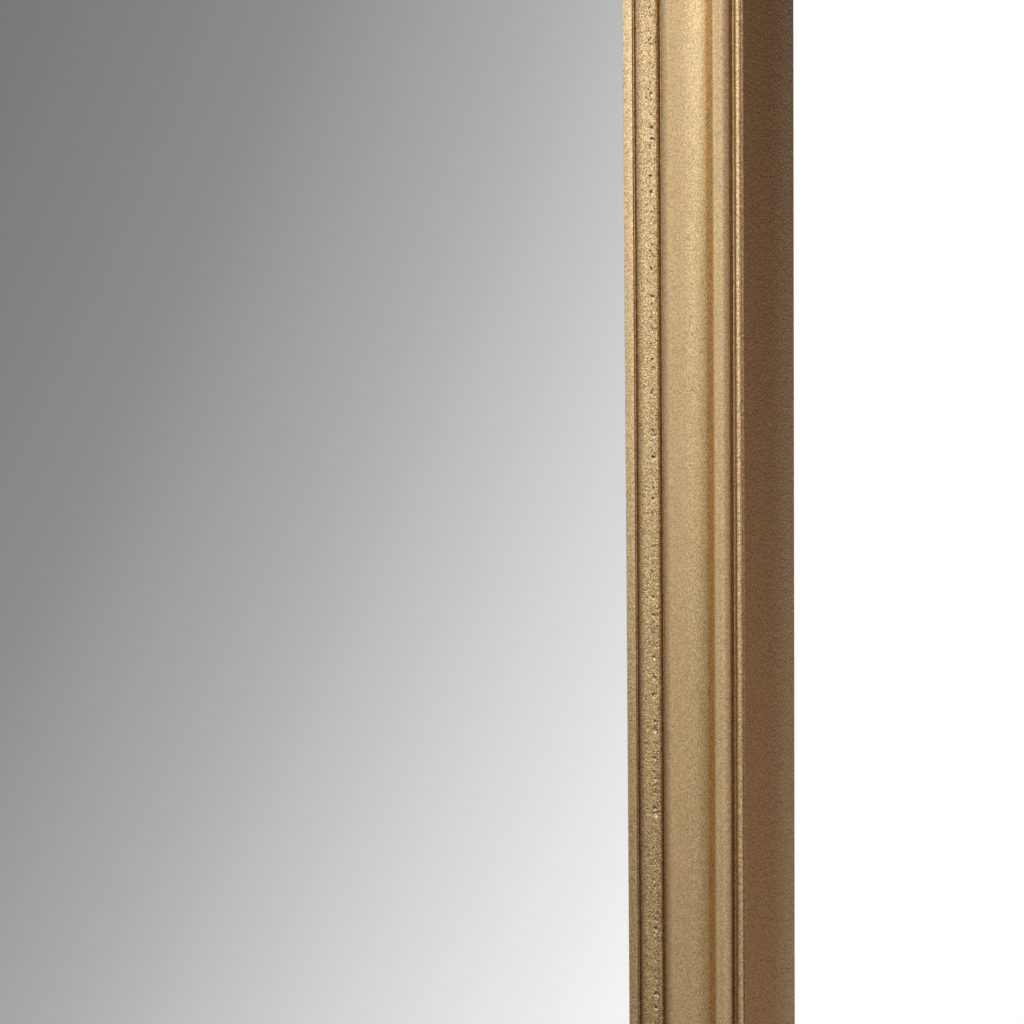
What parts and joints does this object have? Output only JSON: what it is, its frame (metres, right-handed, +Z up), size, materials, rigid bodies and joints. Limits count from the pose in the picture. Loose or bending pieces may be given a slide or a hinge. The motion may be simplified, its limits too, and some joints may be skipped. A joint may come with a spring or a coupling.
{
  "type": "wall mirror",
  "caption": "Rectangular wall mirror in a gold wooden moulding of beads and a cove with mitred corners, backed by board and hung from swinging ring hangers.",
  "frame": {"origin": "point on the wall plane behind the middle of the frame's outline", "axes": "+Z up along the stiles, +Y back into the wall, +X to the viewer's right; the glass faces -Y"},
  "size_m": [0.61, 0.0379, 0.914],
  "materials": {
    "gold_moulding": "rough metallic gold paint on wood",
    "clear_glass": "polished",
    "silvering": "mirror",
    "liner_card": "matte",
    "fibreboard": "matte fibreboard",
    "point_steel": "blued spring steel",
    "nail_steel": "bright steel",
    "plated_steel": "zinc plated",
    "screw_steel": "zinc plated",
    "bumper_rubber": "matte"
  },
  "bodies": {
    "frame": {"right_stile": "gold_moulding", "left_stile": "gold_moulding", "top_rail": "gold_moulding", "bottom_rail": "gold_moulding", "mirror_glass": "clear_glass", "silver_coat": "silvering", "cardboard_liner": "liner_card", "backing_board": "fibreboard", "retaining_points": "point_steel", "corner_nails": "nail_steel", "left_hanger_strap": "plated_steel", "right_hanger_strap": "plated_steel", "hanger_screws": "screw_steel", "left_bumper": "bumper_rubber", "right_bumper": "bumper_rubber"},
    "left_ring": {"left_hanger_ring": "plated_steel"},
    "right_ring": {"right_hanger_ring": "plated_steel"}
  },
  "joints": [
    {"name": "left_ring_swing", "type": "hinge", "parent": "frame", "child": "left_ring", "pos_m": [-0.2845, -0.00345, 0.227], "axis": [1, 0, 0], "range_deg": [0, 180]},
    {"name": "right_ring_swing", "type": "hinge", "parent": "frame", "child": "right_ring", "pos_m": [0.2845, -0.00345, 0.227], "axis": [1, 0, 0], "range_deg": [0, 180]}
  ]
}
